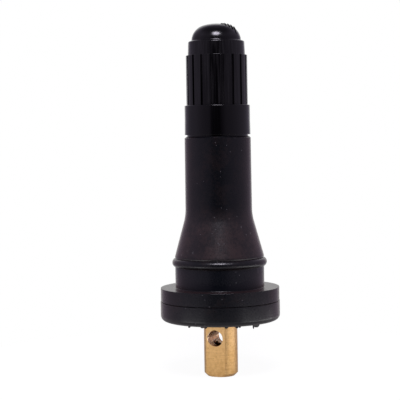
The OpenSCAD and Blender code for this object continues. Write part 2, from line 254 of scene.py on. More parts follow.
rubber_outline = [
    (FOOT_R, FLANGE_LOW_Z, 0),
    (FLANGE_R, FLANGE_LOW_Z, 0.9),
    (FLANGE_R, PARTING_Z - PARTING_TALL, 0),
    (FLANGE_R - PARTING_DEEP, PARTING_Z, 0),
    (FLANGE_R - PARTING_IN, PARTING_Z + PARTING_TALL, 0),
    (FLANGE_R - PARTING_IN, 0, 0.06),
    (NECK_R, 0, 0.08),
    *arc(BEAD_R, BEAD_Z, BEAD_ROUND, BEAD_LOW_ANGLE, BEAD_HIGH_ANGLE, BEAD_STEPS),
    (TAPER_R, TAPER_Z, 0.2),
    (SHANK_R, SHANK_Z, TAPER_BLEND),
    (SHANK_TOP_R, SHANK_TOP_Z - SHANK_LIP_DROP, 0),
    (SHANK_LIP_R, SHANK_TOP_Z, 0),
    (THREAD_ROOT_R, SHANK_TOP_Z, 0),
    (THREAD_ROOT_R, SHANK_TOP_Z - THREAD_SUNK, 0),
    (STEM_R, SHANK_TOP_Z - THREAD_SUNK, 0),
    (STEM_R, COLLAR_TOP_Z, 0),
    (COLLAR_R, COLLAR_TOP_Z, 0),
    (COLLAR_R, COLLAR_LOW_Z, 0),
    (FOOT_R, COLLAR_LOW_Z, 0),
]
rubber_mesh = draw_outline(rubber_outline, closed=True)
spin_outline(rubber_mesh, SPIN_STEPS)
rubber = make_piece("rubber_moulding", rubber_mesh, "stem", "body_rubber", "rubber_body")
even_shading(rubber)

# %% [markdown]
# ## Mould flash
# Where the mould closes at the flange's lower edge, a little rubber squeezes out. It is torn
# off after moulding, and a few crumbs stay. Each crumb is a small ball, flattened and pulled
# out of shape by a wave, with its upper part sunk into the edge.

# %% Mould flash
FLASH_R = 8.72
FLASH_THICK = 0.16
FLASH_WAVE = 0.06
FLASH_WAVES_X = 9
FLASH_WAVES_Y = 11
FLASH_CRUMBS = [
    (-33.4, 0.5, 0.4), (-18.6, 0.6, 0.34), (-15, 0.5, 0.4), (5.8, 0.6, 0.4), (16.5, 0.5, 0.4),
    (19.5, 0.4, 0.3), (35.6, 0.34, 1.15), (39.5, 1.25, 0.75),
]

flash_mesh = bmesh.new()
for angle, wide, tall in FLASH_CRUMBS:
    around = math.radians(angle)
    outwards = towards_camera * math.cos(around) + right_of_camera * math.sin(around)
    facing = Matrix.Rotation(math.atan2(outwards.y, outwards.x), 4, "Z")
    place = Matrix.Translation(outwards * FLASH_R + Vector((0, 0, FLANGE_LOW_Z)))
    size = Matrix.Diagonal((FLASH_THICK, wide, tall, 1))
    bmesh.ops.create_icosphere(flash_mesh, subdivisions=2, radius=0.5, matrix=place @ facing @ size)
for vert in flash_mesh.verts:
    wave = math.sin(FLASH_WAVES_X * vert.co.x) * math.cos(FLASH_WAVES_Y * vert.co.y)
    vert.co.z += FLASH_WAVE * wave
close_mesh(flash_mesh)
flash = make_piece("mould_flash", flash_mesh, "stem", "body_rubber")

# %% [markdown]
# ## The cap
# The real cap is one plastic moulding: a plain skirt, a ribbed grip, a smooth band and a
# domed end, with a bore that takes the stem's thread. We spin its section with a step count
# that is a whole number of steps per rib. Each groove of the grip is then made by pressing
# three columns of vertices at its place inwards to the band's radius. The outer two of them
# move apart first, almost to the next columns, so the groove gets steep walls with just the
# draft that a mould needs to let the part go. A small rebate in the cap's foot draws the dark
# gap above the rubber.

# %% Cap skin
CAP_LOW_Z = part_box("cap")[0].z / MM
CAP_TOP_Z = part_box("cap")[1].z / MM
GROOVES = 18
STEPS_PER_RIB = 16
GROOVE_TURN = 5
GROOVE_SPREAD = 0.85
SKIRT_R = 5.17
SKIRT_FOOT_R = 5.21
SKIRT_FLARE_Z = 26.5
SKIRT_TALL = 4.9
SKIRT_TOP_Z = CAP_LOW_Z + SKIRT_TALL
RIBS_R = 4.85
RIBS_TOP_Z = 36.7
BAND_R = 4.52
BAND_TOP_R = 4.43
BAND_TOP_Z = 38.95
DOME_R = 3.92
DOME_H = CAP_TOP_Z - BAND_TOP_Z
DOME_SIDE_SHARE = 0.93
DOME_SIDE = DOME_SIDE_SHARE * DOME_H
DOME_SIDE_R = DOME_R - DOME_SIDE
DOME_TOP = (DOME_SIDE_R ** 2 + DOME_H ** 2 - DOME_SIDE ** 2) / (2 * (DOME_H - DOME_SIDE))
DOME_TOP_Z = CAP_TOP_Z - DOME_TOP
DOME_STEPS = 12
DOME_FOOT_ANGLE = 6
DOME_JOIN_ANGLE = 3
touch_angle = math.degrees(math.atan2(BAND_TOP_Z - DOME_TOP_Z, DOME_SIDE_R))
CAP_BORE_R = 3.93
CAP_MOUTH_R = 4.15
CAP_MOUTH_DEEP = 5.5
CAP_MOUTH_Z = CAP_LOW_Z + CAP_MOUTH_DEEP
FOOT_GAP = 0.24
FOOT_GAP_R = 4.85
HOLLOW_R = 2.4
DOME_WALL = 1.6
HOLLOW_TOP_Z = CAP_TOP_Z - DOME_WALL

cap_outline = [
    *reversed(arc(0, DOME_TOP_Z, DOME_TOP, touch_angle, 90, DOME_STEPS)),
    *reversed(arc(DOME_SIDE_R, BAND_TOP_Z, DOME_SIDE, DOME_FOOT_ANGLE, touch_angle - DOME_JOIN_ANGLE,
                  DOME_STEPS)),
    (DOME_R, BAND_TOP_Z, 0.2),
    (BAND_TOP_R, BAND_TOP_Z, 0.24),
    (BAND_R, RIBS_TOP_Z, 0),
    (RIBS_R, RIBS_TOP_Z, 0.05),
    (RIBS_R, SKIRT_TOP_Z, 0),
    (SKIRT_R, SKIRT_TOP_Z, 0.12),
    (SKIRT_R, SKIRT_FLARE_Z, 0),
    (SKIRT_FOOT_R, CAP_LOW_Z + FOOT_GAP, 0.05),
    (FOOT_GAP_R, CAP_LOW_Z + FOOT_GAP, 0),
    (FOOT_GAP_R, CAP_LOW_Z, 0),
    (CAP_MOUTH_R, CAP_LOW_Z, 0.1),
    (CAP_MOUTH_R, CAP_MOUTH_Z, 0),
    (CAP_BORE_R, CAP_MOUTH_Z, 0),
    (CAP_BORE_R, RIBS_TOP_Z, 0),
    (HOLLOW_R, RIBS_TOP_Z, 0),
    (HOLLOW_R, HOLLOW_TOP_Z, 0.3),
    (0, HOLLOW_TOP_Z, 0),
]
cap_mesh = draw_outline(cap_outline, closed=False)
bmesh.ops.rotate(cap_mesh, verts=cap_mesh.verts, cent=(0, 0, 0),
                 matrix=Matrix.Rotation(math.radians(GROOVE_TURN), 3, "Z"))
spin_outline(cap_mesh, GROOVES * STEPS_PER_RIB)
print("the cap's skin has", len(cap_mesh.faces), "faces before its grooves")

# %% Grooves of the cap's grip
RIB_ANGLE = math.tau / GROOVES
STEP_ANGLE = RIB_ANGLE / STEPS_PER_RIB
GROOVE_COLUMNS = 3
NEAR = 0.01


def groove_offset(co):
    """Angle from the nearest groove's middle to a point, positive when counterclockwise."""
    around = math.atan2(co.y, co.x) - math.radians(GROOVE_TURN)
    return (around + RIB_ANGLE / 2) % RIB_ANGLE - RIB_ANGLE / 2


def in_groove(co):
    """True for a point on the ribs' outside that lies in one of the grooves."""
    reach = math.hypot(co.x, co.y)
    on_ribs = SKIRT_TOP_Z - NEAR < co.z < RIBS_TOP_Z + NEAR and BAND_R < reach < RIBS_R + NEAR
    return on_ribs and abs(groove_offset(co)) < GROOVE_COLUMNS / 2 * STEP_ANGLE


pressed = [vert for vert in cap_mesh.verts if in_groove(vert.co)]
for vert in pressed:
    angle = math.atan2(vert.co.y, vert.co.x) + GROOVE_SPREAD * groove_offset(vert.co)
    vert.co = Vector((BAND_R * math.cos(angle), BAND_R * math.sin(angle), vert.co.z))
close_mesh(cap_mesh)
cap = make_piece("cap_shell", cap_mesh, "cap", "cap_plastic", "cap")
even_shading(cap)
print(GROOVES, "grooves moved", len(pressed), "vertices")

# %% [markdown]
# ## Marks on the dome
# A mould leaves marks where plastic enters and where its number stands. Here that is a small
# nub beside the dome's middle and a row of plain raised bars down its shoulder, without any
# letters. Each bar is drawn flat, cut across in a few places and laid on the dome's curve.

# %% Nub and bars on the dome
BAR_LONG = 1.5
BAR_WIDE = 0.1
BAR_TALL = 0.36
BAR_REACHES = (1.45, 2, 2.5, 3)
BAR_FORWARD = 1.2
BAR_LEAN = math.radians(-74)
BAR_CUTS = 5
NUB_R = 0.28
NUB_TOP_R = 0.8 * NUB_R
NUB_SIDES = 24
NUB_REACH = 1
NUB_TALL = 0.24


def dome_height(reach):
    """Height of the dome's surface at a distance from the axis."""
    if reach < DOME_TOP * math.cos(math.radians(touch_angle)):
        return DOME_TOP_Z + math.sqrt(DOME_TOP ** 2 - reach ** 2)
    return BAND_TOP_Z + math.sqrt(DOME_SIDE ** 2 - (reach - DOME_SIDE_R) ** 2)


marks_mesh = bmesh.new()
for reach in BAR_REACHES:
    bar_place = Matrix.Translation(right_of_camera * reach + towards_camera * BAR_FORWARD)
    bar_turn = Matrix.Rotation(CAMERA_AZIMUTH + BAR_LEAN, 4, "Z")
    bar_size = Matrix.Diagonal((BAR_LONG, BAR_WIDE, BAR_TALL, 1))
    bmesh.ops.create_cube(marks_mesh, size=1, matrix=bar_place @ bar_turn @ bar_size)
long_edges = [edge for edge in marks_mesh.edges if edge.calc_length() > BAR_LONG / 2]
bmesh.ops.subdivide_edges(marks_mesh, edges=long_edges, cuts=BAR_CUTS, use_grid_fill=True)
nub_place = Matrix.Translation(right_of_camera * NUB_REACH + towards_camera * BAR_FORWARD)
bmesh.ops.create_cone(marks_mesh, cap_ends=True, segments=NUB_SIDES, radius1=NUB_R,
                      radius2=NUB_TOP_R, depth=NUB_TALL, matrix=nub_place)
for vert in marks_mesh.verts:
    vert.co.z = min(CAP_TOP_Z, vert.co.z + dome_height(math.hypot(vert.co.x, vert.co.y)))
close_mesh(marks_mesh)
marks = make_piece("dome_marks", marks_mesh, "cap", "cap_plastic")

# %% [markdown]
# ## Screw threads
# The cap runs on the stem's thread, which shows when the cap is turned up. A thread is a
# ridge on a helix: we draw its section as four vertices and spin it with a small rise at
# every step. The height of the ridge fades out at both ends, as a cut thread runs out. The
# ridge in the cap lies half a pitch from the one on the stem, so the two stay in mesh while
# the cap turns and lifts.

# %% Thread helper
THREAD_STEPS = 48
RUNOUT_SHARE = 0.02


def thread_ridge(root_r, crest_r, pitch, root_width, crest_width, low_z, turns, fade):
    """A closed helical ridge around Z; its widths at root and crest are shares of the pitch."""
    bm = bmesh.new()
    half_root = root_width * pitch / 2
    half_crest = crest_width * pitch / 2
    section = [(root_r, -half_root), (crest_r, -half_crest), (crest_r, half_crest), (root_r, half_root)]
    verts = [bm.verts.new((r, 0, low_z + z)) for r, z in section]
    edges = [bm.edges.new((verts[k - 1], verts[k])) for k in range(len(verts))]
    steps = round(turns * THREAD_STEPS)
    bmesh.ops.spin(bm, geom=verts + edges, cent=(0, 0, 0), axis=(0, 0, 1),
                   dvec=(0, 0, pitch / THREAD_STEPS), angle=math.tau * steps / THREAD_STEPS,
                   steps=steps, use_merge=False, use_normal_flip=False, use_duplicate=False)
    high_z = low_z + turns * pitch
    for vert in bm.verts:
        reach = math.hypot(vert.co.x, vert.co.y)
        from_end = min(vert.co.z - low_z, high_z - vert.co.z)
        share = min(1, max(RUNOUT_SHARE, from_end / fade))
        kept = (root_r + (reach - root_r) * share) / reach
        vert.co = Vector((vert.co.x * kept, vert.co.y * kept, vert.co.z))
    bmesh.ops.holes_fill(bm, edges=bm.edges, sides=len(section))
    close_mesh(bm)
    return bm


# %% Thread of the stem and thread of the cap
CAP_PITCH = 0.794
STEM_CREST_R = 3.875
CAP_CREST_R = 3.46
STEM_THREAD_RISE = 0.25
STEM_THREAD_Z = SHANK_TOP_Z + STEM_THREAD_RISE
STEM_TURNS = 13.5
CAP_PITCHES_UP = 7.5
CAP_THREAD_Z = STEM_THREAD_Z + CAP_PITCHES_UP * CAP_PITCH
CAP_TURNS = 6
THREAD_FADE = 0.3
THREAD_BITE = 0.02

stem_thread_mesh = thread_ridge(THREAD_ROOT_R - THREAD_BITE, STEM_CREST_R, CAP_PITCH,
                                root_width=0.75, crest_width=0.125,
                                low_z=STEM_THREAD_Z, turns=STEM_TURNS, fade=THREAD_FADE)
stem_thread = make_piece("stem_thread", stem_thread_mesh, "stem", "stem_brass")
cap_thread_mesh = thread_ridge(CAP_BORE_R + THREAD_BITE, CAP_CREST_R, CAP_PITCH,
                               root_width=0.85, crest_width=0.25,
                               low_z=CAP_THREAD_Z, turns=CAP_TURNS, fade=THREAD_FADE)
cap_thread = make_piece("cap_thread", cap_thread_mesh, "cap", "cap_plastic")

# %% [markdown]
# ## The brass foot and its tapped hole
# The stem's solid is right as it is, with its flats, its chamfer and its cross hole. What it
# lacks are the broken edges of a turned part and the screw thread in the cross hole. So we
# take a copy of its mesh, merge it, bevel the foot's sharp edges a little, and cut the
# thread with a Boolean: a helical ridge, laid along the hole, is the tap. The faces in the
# hole get a second material slot, because freshly cut brass is brighter than the tumbled
# outside. The faces of the drilled air bore get a third, a dark brown brass that is painted
# shade for the deep bore, and those under the cap a fourth, because the rolled thread there
# stays clean and yellow.

# %% Copy and cut helpers
FLAT_ANGLE = math.radians(1)
SLIVER = 0.0002


def solid_copy(node_name):
    """A merged copy of a solid's mesh in millimetres, with its flat faces joined."""
    bm = bmesh.new()
    bm.from_mesh(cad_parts[node_name].data)
    bmesh.ops.scale(bm, vec=(1 / MM, 1 / MM, 1 / MM), verts=bm.verts)
    bmesh.ops.remove_doubles(bm, verts=bm.verts, dist=MERGE_DISTANCE)
    bmesh.ops.dissolve_limit(bm, angle_limit=FLAT_ANGLE, verts=bm.verts, edges=bm.edges,
                             use_dissolve_boundaries=False)
    return bm


def cut_thread(piece, cutter):
    """Cuts a cutter's shape out of a piece for good, merges slivers and drops the cutter."""
    cut = piece.modifiers.new("thread", "BOOLEAN")
    cut.operation = "DIFFERENCE"
    cut.solver = "EXACT"
    cut.object = cutter
    evaluated = piece.evaluated_get(bpy.context.evaluated_depsgraph_get())
    threaded = bpy.data.meshes.new_from_object(evaluated)
    bm = bmesh.new()
    bm.from_mesh(threaded)
    bmesh.ops.remove_doubles(bm, verts=bm.verts, dist=SLIVER * MM)
    bm.to_mesh(threaded)
    bm.free()
    piece.modifiers.clear()
    piece.data = threaded
    bpy.data.objects.remove(cutter)
    even_shading(piece)
    print(piece.name, "has", len(threaded.polygons), "faces with its thread")


# %% Stem with broken edges
HOLE_Z = -8.05
HOLE_R = 1.25
HOLE_MAJOR_R = 1.4
HOLE_PITCH = 0.5
FLATS = 4.22
BORE_R = 1.1
EDGE_BREAK = 0.05
WORN_TOP_Z = FLANGE_LOW_Z + 0.2

stem_mesh = solid_copy("brass_stem")
worn = [edge for edge in stem_mesh.edges
        if len(edge.link_faces) == 2 and edge.calc_face_angle() > SHARP_ANGLE
        and max(vert.co.z for vert in edge.verts) < WORN_TOP_Z]
bmesh.ops.bevel(stem_mesh, geom=worn, offset=EDGE_BREAK, offset_type="OFFSET", segments=2,
                profile=0.5, affect="EDGES", material=-1, clamp_overlap=True)
close_mesh(stem_mesh)
stem = make_piece("stem_turned", stem_mesh, "stem", "stem_brass", "brass_stem")

# %% Tapped cross hole and the stem's material slots
TAP_OVERRUN = 1
TAP_CORE_R = HOLE_R - 0.15
CUTTER_FADE = 0.02
FACE_ROOM = 0.02
FLAT_ROOM = 0.005
STEEP = 0.5

tap_turns = (FLATS + TAP_OVERRUN) / HOLE_PITCH
tap_mesh = thread_ridge(TAP_CORE_R, HOLE_MAJOR_R, HOLE_PITCH, root_width=0.95, crest_width=0.12,
                        low_z=-tap_turns * HOLE_PITCH / 2, turns=tap_turns, fade=CUTTER_FADE)
bmesh.ops.rotate(tap_mesh, verts=tap_mesh.verts, cent=(0, 0, 0),
                 matrix=Matrix.Rotation(math.radians(90), 3, "X"))
bmesh.ops.translate(tap_mesh, verts=tap_mesh.verts, vec=(0, 0, HOLE_Z))
cut_thread(stem, make_piece("tap", tap_mesh, "stem", "stem_brass"))
for polygon in stem.data.polygons:
    from_hole_axis = math.hypot(polygon.center.x, polygon.center.z - HOLE_Z * MM)
    between_flats = abs(polygon.center.y) < (FLATS / 2 - FLAT_ROOM) * MM
    in_hole = from_hole_axis < (HOLE_MAJOR_R + FACE_ROOM) * MM and between_flats
    from_stem_axis = math.hypot(polygon.center.x, polygon.center.y)
    in_bore = from_stem_axis < (BORE_R + FACE_ROOM) * MM and abs(polygon.normal.z) < STEEP
    on_thread = polygon.center.z > (SHANK_TOP_Z - THREAD_SUNK) * MM
    polygon.material_index = 1 if in_hole else 2 if in_bore else 3 if on_thread else 0
slots_used = [polygon.material_index for polygon in stem.data.polygons]
print("faces outside, in the hole, in the bore, on the thread:", [slots_used.count(k) for k in range(4)])

# %% [markdown]
# ## The core's plug
# The valve core is held in the stem by a threaded plug. Its solid is a plain cylinder under
# the bridge that a key takes, so its thread is cut in the same way: the cutter is a helical
# ridge that points inwards.

# %% Thread of the core's plug
PLUG_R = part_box("core_plug")[1].x / MM
PLUG_LOW_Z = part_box("core_plug")[0].z / MM
PLUG_THREAD_LEN = 3.5
PLUG_THREAD_DEEP = 0.28
PLUG_PITCH = 0.705
DIE_R = PLUG_R + 0.1

plug_mesh = solid_copy("core_plug")
close_mesh(plug_mesh)
plug = make_piece("plug_threaded", plug_mesh, "stem", "core_brass", "core_plug")
die_turns = PLUG_THREAD_LEN / PLUG_PITCH + 1
die_mesh = thread_ridge(DIE_R, PLUG_R - PLUG_THREAD_DEEP, PLUG_PITCH, root_width=0.9, crest_width=0.12,
                        low_z=PLUG_LOW_Z - PLUG_PITCH / 2, turns=die_turns, fade=CUTTER_FADE)
cut_thread(plug, make_piece("die", die_mesh, "stem", "core_brass"))

# %% [markdown]
# ## The core's spring
# Inside the stem a small coil spring holds the core's pin up. It is a round wire on a helix,
# so a circle spun with a rise makes it. When the pin is pressed, the coil gets shorter from
# its upper end.

# %% Core spring
SPRING_LOW_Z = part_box("core_spring")[0].z / MM
SPRING_HIGH_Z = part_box("core_spring")[1].z / MM
SPRING_R = 1
WIRE_R = 0.13
WIRE_SIDES = 12
SPRING_TURNS = 7
SPRING_STEPS = 40

spring_mesh = bmesh.new()
bmesh.ops.create_circle(spring_mesh, cap_ends=False, radius=WIRE_R, segments=WIRE_SIDES)
bmesh.ops.rotate(spring_mesh, verts=spring_mesh.verts, cent=(0, 0, 0),
                 matrix=Matrix.Rotation(math.radians(90), 3, "X"))
bmesh.ops.translate(spring_mesh, verts=spring_mesh.verts, vec=(SPRING_R, 0, SPRING_LOW_Z + WIRE_R))
spring_len = SPRING_HIGH_Z - SPRING_LOW_Z
spring_rise = (spring_len - 2 * WIRE_R) / (SPRING_TURNS * SPRING_STEPS)
bmesh.ops.spin(spring_mesh, geom=spring_mesh.verts[:] + spring_mesh.edges[:], cent=(0, 0, 0),
               axis=(0, 0, 1), dvec=(0, 0, spring_rise), angle=math.tau * SPRING_TURNS,
               steps=SPRING_TURNS * SPRING_STEPS, use_merge=False, use_normal_flip=False,
               use_duplicate=False)
bmesh.ops.holes_fill(spring_mesh, edges=spring_mesh.edges, sides=0)
close_mesh(spring_mesh)
spring = make_piece("spring_coil", spring_mesh, "stem", "spring_steel", "core_spring")
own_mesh(spring)

# %% [markdown]
# ## Finishes from nodes
# Each finish is a Principled shader whose colour, roughness and bump vary over the surface.
# All patterns read Object coordinates, which are metres here, so one Mapping node turns them
# into millimetres, and every texture scale below is then a count per millimetre.

# %% Node helpers
HEIGHT_ZERO = 0.2
HEIGHT_PER_MM = 0.01
SPECK_CORE = 0.6
PICK_EDGE = 0.01


def new_finish(name):
    """A new node material, and its shader that is joined to the output."""
    finish = bpy.data.materials.new(name)
    finish.use_nodes = True
    nodes = finish.node_tree.nodes
    nodes.clear()
    shader = nodes.new("ShaderNodeBsdfPrincipled")
    output = nodes.new("ShaderNodeOutputMaterial")
    finish.node_tree.links.new(shader.outputs["BSDF"], output.inputs["Surface"])
    return finish, shader


def wire(finish, source, target):
    """Joins an output socket to an input socket."""
    finish.node_tree.links.new(source, target)


def millimetres(finish, stretch):
    """Object coordinates in millimetres, stretched per axis."""
    coordinates = finish.node_tree.nodes.new("ShaderNodeTexCoord")
    mapping = finish.node_tree.nodes.new("ShaderNodeMapping")
    mapping.inputs["Scale"].default_value = [value / MM for value in stretch]
    wire(finish, coordinates.outputs["Object"], mapping.inputs["Vector"])
    return mapping.outputs["Vector"]


def cloud(finish, place, per_mm, detail):
    """Soft noise from 0 to 1, with so many blotches to the millimetre."""
    noise = finish.node_tree.nodes.new("ShaderNodeTexNoise")
    noise.inputs["Scale"].default_value = per_mm
    noise.inputs["Detail"].default_value = detail
    wire(finish, place, noise.inputs["Vector"])
    return noise.outputs["Fac"]


def ramp(finish, value, stops):
    """A colour ramp through (position, colour) stops."""
    node = finish.node_tree.nodes.new("ShaderNodeValToRGB")
    elements = node.color_ramp.elements
    while len(elements) < len(stops):
        elements.new(0.5)
    for element, (position, colour) in zip(elements, stops):
        element.position = position
        element.color = (*colour, 1)
    wire(finish, value, node.inputs["Fac"])
    return node.outputs["Color"]


def grey_ramp(finish, value, stops):
    """A colour ramp through (position, grey) stops."""
    return ramp(finish, value, [(position, (grey, grey, grey)) for position, grey in stops])


def maths(finish, operation, *values):
    """One sum on sockets or numbers."""
    node = finish.node_tree.nodes.new("ShaderNodeMath")
    node.operation = operation
    for socket, value in zip(node.inputs, values):
        if isinstance(value, (int, float)):
            socket.default_value = value
        else:
            wire(finish, value, socket)
    return node.outputs["Value"]


def along(finish, place, axis):
    """How far a place or a direction reaches along an axis."""
    node = finish.node_tree.nodes.new("ShaderNodeVectorMath")
    node.operation = "DOT_PRODUCT"
    node.inputs[1].default_value = axis
    wire(finish, place, node.inputs[0])
    return node.outputs["Value"]


def heights(finish, stops):
    """Grey by the height above the flange's seat, through (millimetres, grey) stops."""
    height = along(finish, millimetres(finish, (1, 1, 1)), (0, 0, 1))
    share = maths(finish, "MULTIPLY_ADD", height, HEIGHT_PER_MM, HEIGHT_ZERO)
    return grey_ramp(finish, share, [(HEIGHT_ZERO + HEIGHT_PER_MM * z, grey) for z, grey in stops])


def specks(finish, place, per_mm, size, share):
    """White dots of dust on black: one in each picked cell of a Voronoi pattern."""
    cells = finish.node_tree.nodes.new("ShaderNodeTexVoronoi")
    cells.inputs["Scale"].default_value = per_mm
    wire(finish, place, cells.inputs["Vector"])
    near = grey_ramp(finish, cells.outputs["Distance"], [(size * SPECK_CORE, 1), (size, 0)])
    picked = grey_ramp(finish, cells.outputs["Color"], [(1 - share - PICK_EDGE, 0), (1 - share, 1)])
    return maths(finish, "MULTIPLY", near, picked)


def mixed(finish, share, first, second):
    """A blend of two colours by a share; a colour is a socket or three numbers."""
    node = finish.node_tree.nodes.new("ShaderNodeMix")
    node.data_type = "RGBA"
    wire(finish, share, node.inputs["Factor"])
    for socket, colour in ((node.inputs[6], first), (node.inputs[7], second)):
        if isinstance(colour, tuple):
            socket.default_value = (*colour, 1)
        else:
            wire(finish, colour, socket)
    return node.outputs[2]


def bump(finish, shader, height, strength, depth_mm):
    """Raises the surface by a height pattern."""
    node = finish.node_tree.nodes.new("ShaderNodeBump")
    node.inputs["Strength"].default_value = strength
    node.inputs["Distance"].default_value = depth_mm * MM
    wire(finish, height, node.inputs["Height"])
    wire(finish, node.outputs["Normal"], shader.inputs["Normal"])


# %% [markdown]
# ## Rubber
# Moulded rubber is black, but not evenly so: wax blooms to its surface in brownish blotches,
# and the taper is lighter still, partly from bloom and partly from a painted highlight that
# stands for the lamp's reflection there. The neck is bluish where it was pressed smooth. The
# mould leaves a fine grain, dust sticks to the skin, and handling leaves short light scratches.
# Its gloss is low and varies, and a trace of reddish sheen stands for the dry film on it, which
# shows where we look along the surface.

# %% Moulded rubber
MOTTLE_SPREAD = 0.6
NECK_BLUE = (0.0010, 0.0024, 0.0052)
RUBBER_DUST_GREY = (0.11, 0.105, 0.11)

rubber_finish, rubber_shader = new_finish("moulded_rubber")
rubber_place = millimetres(rubber_finish, (1, 1, 1))
fine_cloud = cloud(rubber_finish, rubber_place, per_mm=2.2, detail=6)
mottling = maths(rubber_finish, "MULTIPLY_ADD", fine_cloud, MOTTLE_SPREAD, -MOTTLE_SPREAD / 2)
wide_cloud = cloud(rubber_finish, rubber_place, per_mm=0.34, detail=7)
bloom = maths(rubber_finish, "ADD", wide_cloud, mottling)
blotches = ramp(rubber_finish, bloom, [(0.36, (0.0006, 0.0016, 0.0034)), (0.5, (0.0014, 0.0026, 0.0044)),
                                       (0.7, (0.0075, 0.0056, 0.0066))])
neck = heights(rubber_finish, [(-0.1, 0), (0.1, 1), (3.1, 1), (3.4, 0)])
# The taper's lighter band is partly wax bloom and partly a painted highlight for the lamp's reflection
# there.
taper_bloom_and_highlight = heights(rubber_finish, [(4.8, 0), (5.2, 0.7), (10, 0.7), (13, 0)])
dusty_bloom_and_highlight = ramp(rubber_finish, bloom, [(0.36, (0.0190, 0.0145, 0.0160)), (0.64, (0.0460, 0.0290, 0.0280))])
bloom_and_taper_highlight = mixed(rubber_finish, taper_bloom_and_highlight, blotches, dusty_bloom_and_highlight)
rubber_tint = mixed(rubber_finish, neck, bloom_and_taper_highlight, NECK_BLUE)
rubber_dust = specks(rubber_finish, rubber_place, per_mm=1.1, size=0.1, share=0.6)
scratch_place = millimetres(rubber_finish, (1.5, 1.2, 0.14))
scratches = specks(rubber_finish, scratch_place, per_mm=0.9, size=0.09, share=0.3)
marked = maths(rubber_finish, "MAXIMUM", rubber_dust, scratches)
dusted_rubber = mixed(rubber_finish, marked, rubber_tint, RUBBER_DUST_GREY)
wire(rubber_finish, dusted_rubber, rubber_shader.inputs["Base Color"])
rubber_grain = cloud(rubber_finish, rubber_place, per_mm=5, detail=6)
wire(rubber_finish, grey_ramp(rubber_finish, rubber_grain, [(0.3, 0.26), (0.7, 0.35)]),
     rubber_shader.inputs["Roughness"])
bump(rubber_finish, rubber_shader, rubber_grain, strength=0.3, depth_mm=0.03)
rubber_shader.inputs["Sheen Weight"].default_value = 0.08
rubber_shader.inputs["Sheen Roughness"].default_value = 0.45
rubber_shader.inputs["Sheen Tint"].default_value = (1.0, 0.5, 0.42, 1)
rubber.data.materials.append(rubber_finish)
flash.data.materials.append(rubber_finish)
print("rubber finish:", len(rubber_finish.node_tree.nodes), "nodes")

# %% [markdown]
# ## Cap plastic
# The cap is a hard black plastic with a satin gloss. Fine rubs run along it and change its
# roughness a little. Fingers wear the grip, so its ribs and the band above them are duller
# and a bit greyer. A few dust specks sit on the cap as well.

# %% Satin cap plastic
CAP_BLACK = (0.0009, 0.0007, 0.0012)
CAP_WORN = (0.0075, 0.0068, 0.0080)
CAP_DUST_GREY = (0.06, 0.06, 0.07)
WORN_ROUGHER = 0.12

cap_finish, cap_shader = new_finish("satin_cap_plastic")
cap_place = millimetres(cap_finish, (1, 1, 1))
rub_place = millimetres(cap_finish, (1, 1, 0.04))
rubs = cloud(cap_finish, rub_place, per_mm=3, detail=5)
grip = heights(cap_finish, [(28.8, 0), (29, 1), (36.6, 1), (36.8, 0.85), (38.8, 0.85), (39, 0)])
streaks = grey_ramp(cap_finish, rubs, [(0.42, 0), (0.64, 1)])
worn_grip = maths(cap_finish, "MULTIPLY", grip, streaks)
cap_tint = mixed(cap_finish, worn_grip, CAP_BLACK, CAP_WORN)
cap_dust = specks(cap_finish, cap_place, per_mm=0.8, size=0.07, share=0.14)
dusted_cap = mixed(cap_finish, cap_dust, cap_tint, CAP_DUST_GREY)
wire(cap_finish, dusted_cap, cap_shader.inputs["Base Color"])
satin = grey_ramp(cap_finish, rubs, [(0.3, 0.17), (0.7, 0.23)])
cap_rough = maths(cap_finish, "MULTIPLY_ADD", worn_grip, WORN_ROUGHER, satin)
wire(cap_finish, cap_rough, cap_shader.inputs["Roughness"])
bump(cap_finish, cap_shader, rubs, strength=0.02, depth_mm=0.02)
for piece in (cap, cap_thread, marks):
    piece.data.materials.append(cap_finish)
print("cap finish:", len(cap_finish.node_tree.nodes), "nodes")

# %% [markdown]
# ## Brass
# The foot is turned brass with a dull tumbled skin: golden, mottled at a fine scale, with
# small dark pits, and browner towards its end. A thin clear skin of oxide makes its edges
# paler. Fine lines run round it from the turning. The threads and the core use the same
# recipe, brighter and with fewer pits, and the drilled bore a dark brown one, which is
# painted shade for the deep bore.

# %% Turned brass
TURNING_SHARE = 0.4
ROUGH_SPREAD = 0.06
END_BROWN = (0.34, 0.15, 0.04)
PIT_BROWN = (0.26, 0.10, 0.02)


def brass(name, light, dark, rough, pits, coat):
    """A mottled brass from its lighter and darker tint."""
    finish, shader = new_finish(name)
    place = millimetres(finish, (1, 1, 1))
    turning_place = millimetres(finish, (0.2, 0.2, 4))
    lines = cloud(finish, turning_place, per_mm=1.6, detail=4)
    turning_lines = maths(finish, "MULTIPLY", lines, TURNING_SHARE)
    patches = cloud(finish, place, per_mm=2.2, detail=7)
    mottle = maths(finish, "MULTIPLY_ADD", patches, 1 - TURNING_SHARE, turning_lines)
    tint = ramp(finish, mottle, [(0.38, dark), (0.6, light)])
    pitted = specks(finish, place, per_mm=3.2, size=0.16, share=pits)
    # Browner and darker over the foot's last two millimetres.
    end_browning = heights(finish, [(-14.2, 0.16), (-13.2, 0.06), (-12, 0)])
    browned_end = mixed(finish, end_browning, tint, END_BROWN)
    wire(finish, mixed(finish, pitted, browned_end, PIT_BROWN), shader.inputs["Base Color"])
    shader.inputs["Metallic"].default_value = 1
    shader.inputs["Coat Weight"].default_value = coat
    shader.inputs["Coat Roughness"].default_value = 0.2
    wire(finish, grey_ramp(finish, mottle, [(0.3, rough - ROUGH_SPREAD), (0.7, rough + ROUGH_SPREAD)]),
         shader.inputs["Roughness"])
    bump(finish, shader, cloud(finish, place, per_mm=9, detail=5), strength=0.25, depth_mm=0.012)
    return finish


